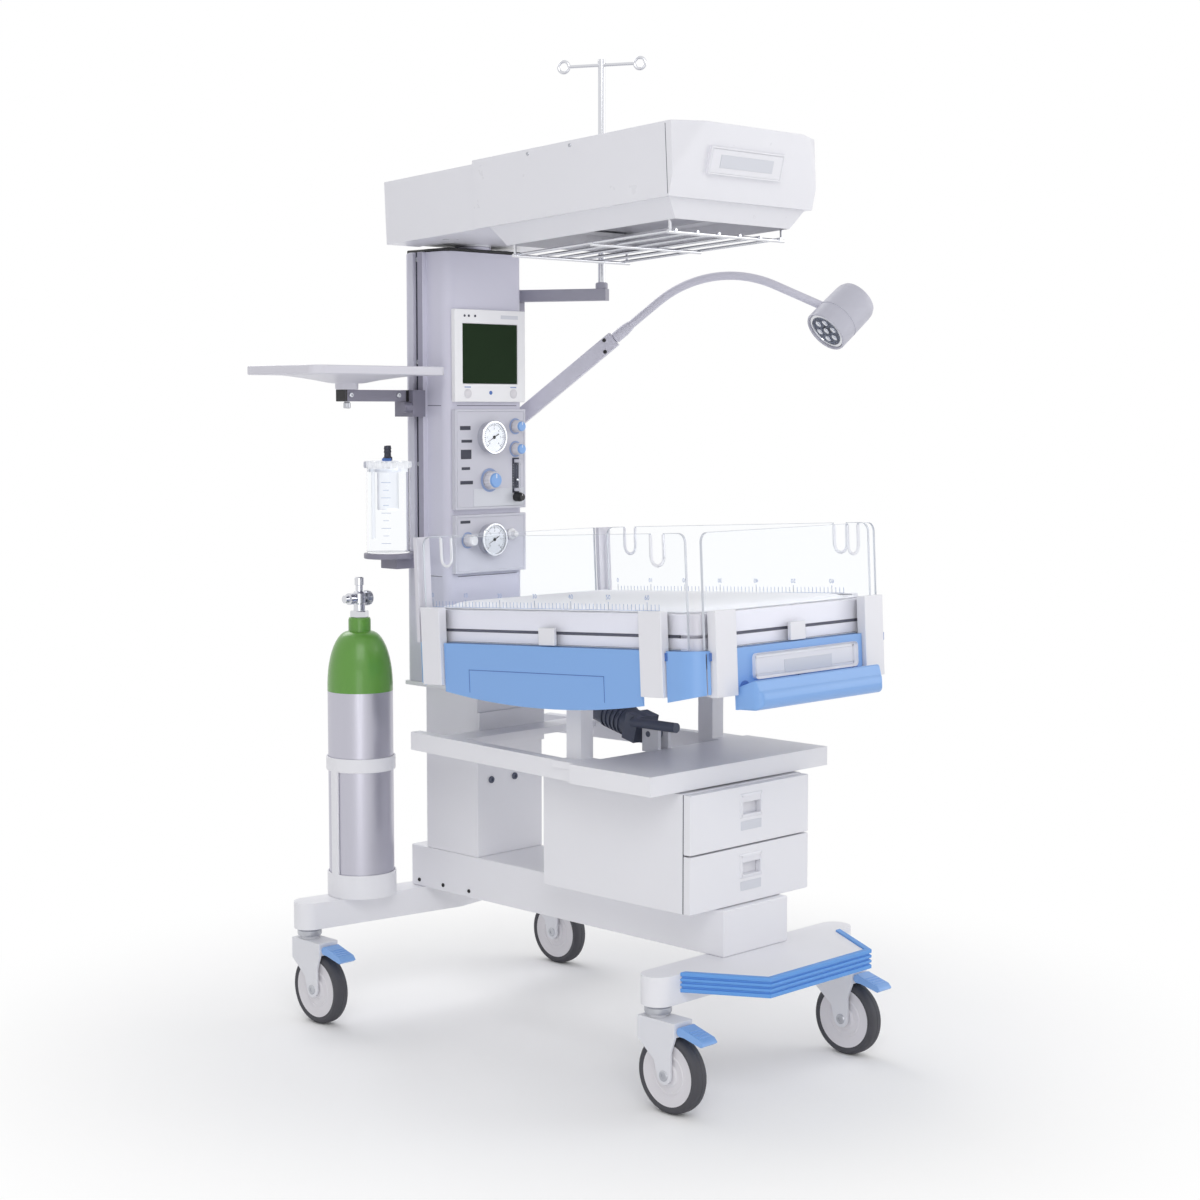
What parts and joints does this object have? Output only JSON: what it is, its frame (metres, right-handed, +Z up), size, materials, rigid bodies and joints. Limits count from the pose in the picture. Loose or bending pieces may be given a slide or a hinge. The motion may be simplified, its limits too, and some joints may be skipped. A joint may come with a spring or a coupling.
{
  "type": "infant resuscitation warmer",
  "caption": "Wheeled infant resuscitation warmer: tilting bed with folding clear sides under a swivelling heater hood, column with gas modules, lamp, drip pole, tray and cylinder.",
  "frame": {"origin": "on the floor under the middle of the beam, halfway between the caster axes", "axes": "+Z up, -Y to the front where the drawers open, +X to the right seen from the front"},
  "size_m": [1.083, 1.1708, 2.0595],
  "materials": {
    "white": "satin",
    "white_plastic": "satin",
    "blue_plastic": "satin",
    "blue_rubber": "matt",
    "fork_grey": "satin",
    "wheel": "matt",
    "dark_metal": "satin",
    "steel": "polished",
    "clear": "clear",
    "pad": "matt",
    "reflector": "polished",
    "heater": "clear",
    "light_grey": "satin",
    "gauge": "satin",
    "knob_grey": "satin",
    "black_plastic": "satin",
    "bottle": "brushed"
  },
  "bodies": {
    "base": {"center_beam": "white", "rear_legs": "white", "front_platform": "white", "platform_bumper": "blue_rubber", "cabinet_shell": "white", "lower_column": "white", "upper_column": "white", "bed_support_frame": "white", "controller_panel": "white_plastic", "gas_suction_panels": "light_grey", "pressure_gauges": "gauge", "arm_brackets": "dark_metal", "jar_holder": "knob_grey", "suction_jar": "clear", "jar_lid": "light_grey", "oxygen_cylinder": "bottle", "cylinder_holder": "white"},
    "caster_fl": {"caster_fork_fl": "fork_grey"},
    "wheel_fl": {"wheel_fl": "wheel"},
    "pedal_fl": {"pedal_fl": "blue_plastic"},
    "caster_fr": {"caster_fork_fr": "fork_grey"},
    "wheel_fr": {"wheel_fr": "wheel"},
    "pedal_fr": {"pedal_fr": "blue_plastic"},
    "caster_rl": {"caster_fork_rl": "fork_grey"},
    "wheel_rl": {"wheel_rl": "wheel"},
    "pedal_rl": {"pedal_rl": "blue_plastic"},
    "caster_rr": {"caster_fork_rr": "fork_grey"},
    "wheel_rr": {"wheel_rr": "wheel"},
    "pedal_rr": {"pedal_rr": "blue_plastic"},
    "drawer_upper": {"drawer_upper": "white"},
    "drawer_lower": {"drawer_lower": "white"},
    "bed": {"bed_base": "white_plastic", "bed_skirt": "blue_plastic", "mattress_tray": "white_plastic", "mattress": "pad", "panel_rear": "clear"},
    "actuator": {"actuator_motor": "dark_metal"},
    "push_rod": {"actuator_rod": "steel"},
    "side_left": {"panel_left": "clear", "fittings_left": "white_plastic"},
    "side_right": {"panel_right": "clear", "fittings_right": "white_plastic"},
    "side_front": {"panel_front": "clear", "fittings_front": "white_plastic"},
    "hood": {"hood_shell": "white_plastic", "reflector": "reflector", "heater_tube": "heater", "guard_grille": "steel"},
    "air_dial": {"air_knob": "knob_grey"},
    "oxygen_dial": {"oxygen_knob": "knob_grey"},
    "mixer_dial": {"mixer_knob": "blue_plastic"},
    "flow_dial": {"flow_knob": "black_plastic"},
    "suction_dial": {"suction_knob": "knob_grey"},
    "drip_stand": {"iv_arm": "dark_metal", "iv_pole": "steel"},
    "lamp": {"lamp_arm": "dark_metal"},
    "lamp_neck": {"gooseneck": "steel", "lamp_head": "light_grey"},
    "side_tray": {"tray_arm": "dark_metal", "tray_plate": "white_plastic"}
  },
  "joints": [
    {"name": "caster_swivel_fl", "type": "hinge", "parent": "base", "child": "caster_fl", "pos_m": [-0.262, -0.472, 0.2], "axis": [0, 0, 1], "continuous": true},
    {"name": "wheel_spin_fl", "type": "hinge", "parent": "caster_fl", "child": "wheel_fl", "pos_m": [-0.262, -0.509, 0.075], "axis": [1, 0, 0], "continuous": true},
    {"name": "pedal_lift_fl", "type": "hinge", "parent": "caster_fl", "child": "pedal_fl", "pos_m": [-0.262, -0.5453, 0.163], "axis": [1, 0, 0], "range_deg": [-15, 0]},
    {"name": "caster_swivel_fr", "type": "hinge", "parent": "base", "child": "caster_fr", "pos_m": [0.262, -0.472, 0.2], "axis": [0, 0, 1], "continuous": true},
    {"name": "wheel_spin_fr", "type": "hinge", "parent": "caster_fr", "child": "wheel_fr", "pos_m": [0.262, -0.509, 0.075], "axis": [1, 0, 0], "continuous": true},
    {"name": "pedal_lift_fr", "type": "hinge", "parent": "caster_fr", "child": "pedal_fr", "pos_m": [0.262, -0.5453, 0.163], "axis": [1, 0, 0], "range_deg": [-15, 0]},
    {"name": "caster_swivel_rl", "type": "hinge", "parent": "base", "child": "caster_rl", "pos_m": [-0.354, 0.462, 0.2], "axis": [0, 0, 1], "continuous": true},
    {"name": "wheel_spin_rl", "type": "hinge", "parent": "caster_rl", "child": "wheel_rl", "pos_m": [-0.354, 0.425, 0.075], "axis": [1, 0, 0], "continuous": true},
    {"name": "pedal_lift_rl", "type": "hinge", "parent": "caster_rl", "child": "pedal_rl", "pos_m": [-0.354, 0.3887, 0.163], "axis": [1, 0, 0], "range_deg": [-15, 0]},
    {"name": "caster_swivel_rr", "type": "hinge", "parent": "base", "child": "caster_rr", "pos_m": [0.354, 0.462, 0.2], "axis": [0, 0, 1], "continuous": true},
    {"name": "wheel_spin_rr", "type": "hinge", "parent": "caster_rr", "child": "wheel_rr", "pos_m": [0.354, 0.425, 0.075], "axis": [1, 0, 0], "continuous": true},
    {"name": "pedal_lift_rr", "type": "hinge", "parent": "caster_rr", "child": "pedal_rr", "pos_m": [0.354, 0.3887, 0.163], "axis": [1, 0, 0], "range_deg": [-15, 0]},
    {"name": "drawer_upper_slide", "type": "slide", "parent": "base", "child": "drawer_upper", "axis": [0, -1, 0], "range_m": [0, 0.3]},
    {"name": "drawer_lower_slide", "type": "slide", "parent": "base", "child": "drawer_lower", "axis": [0, -1, 0], "range_m": [0, 0.3]},
    {"name": "bed_tilt", "type": "hinge", "parent": "base", "child": "bed", "pos_m": [0, -0.195, 0.76], "axis": [1, 0, 0], "range_deg": [-6, 13]},
    {"name": "actuator_swing", "type": "hinge", "parent": "base", "child": "actuator", "pos_m": [0, -0.215, 0.652], "axis": [1, 0, 0], "range_deg": [-6, 13]},
    {"name": "rod_slide", "type": "slide", "parent": "actuator", "child": "push_rod", "axis": [0, 0.9703, 0.2419], "range_m": [-0.0115, 0.025]},
    {"name": "side_left_fold", "type": "hinge", "parent": "bed", "child": "side_left", "pos_m": [-0.266, -0.19427, 0.77398], "axis": [0, -0.9986, 0.0523], "range_deg": [0, 165]},
    {"name": "side_right_fold", "type": "hinge", "parent": "bed", "child": "side_right", "pos_m": [0.266, -0.19427, 0.77398], "axis": [0, 0.9986, -0.0523], "range_deg": [0, 165]},
    {"name": "side_front_fold", "type": "hinge", "parent": "bed", "child": "side_front", "pos_m": [0, -0.57874, 0.79413], "axis": [1, 0, 0], "range_deg": [0, 80]},
    {"name": "hood_swivel", "type": "hinge", "parent": "base", "child": "hood", "pos_m": [0, 0.325, 1.648], "axis": [0, 0, 1], "range_deg": [-90, 0]},
    {"name": "air_knob_turn", "type": "hinge", "parent": "base", "child": "air_dial", "pos_m": [0.072, 0.269, 1.265], "axis": [0, -1, 0], "range_deg": [0, 270]},
    {"name": "oxygen_knob_turn", "type": "hinge", "parent": "base", "child": "oxygen_dial", "pos_m": [0.072, 0.269, 1.216], "axis": [0, -1, 0], "range_deg": [0, 270]},
    {"name": "mixer_knob_turn", "type": "hinge", "parent": "base", "child": "mixer_dial", "pos_m": [-0.004, 0.269, 1.15], "axis": [0, -1, 0], "range_deg": [0, 270]},
    {"name": "flow_knob_turn", "type": "hinge", "parent": "base", "child": "flow_dial", "pos_m": [0.072, 0.269, 1.112], "axis": [0, -1, 0], "range_deg": [0, 270]},
    {"name": "suction_knob_turn", "type": "hinge", "parent": "base", "child": "suction_dial", "pos_m": [-0.068, 0.269, 1.023], "axis": [0, -1, 0], "range_deg": [0, 270]},
    {"name": "drip_arm_swing", "type": "hinge", "parent": "base", "child": "drip_stand", "pos_m": [0.15, 0.372, 1.551], "axis": [0, 0, 1], "range_deg": [0, 60]},
    {"name": "lamp_arm_swing", "type": "hinge", "parent": "base", "child": "lamp", "pos_m": [0.15, 0.372, 1.264], "axis": [0, 0, 1], "range_deg": [-20, 45]},
    {"name": "gooseneck_twist", "type": "hinge", "parent": "lamp", "child": "lamp_neck", "pos_m": [0.27111, 0.16223, 1.4567], "axis": [0.3913, -0.6777, 0.6226], "range_deg": [-30, 30]},
    {"name": "tray_height", "type": "slide", "parent": "base", "child": "side_tray", "axis": [0, 0, 1], "range_m": [-0.05, 0.15]}
  ],
  "couplings": [
    {"joint": "actuator_swing", "follows": "bed_tilt", "ratio": 0.8326},
    {"joint": "rod_slide", "follows": "bed_tilt", "m_per_rad": 0.09995}
  ]
}
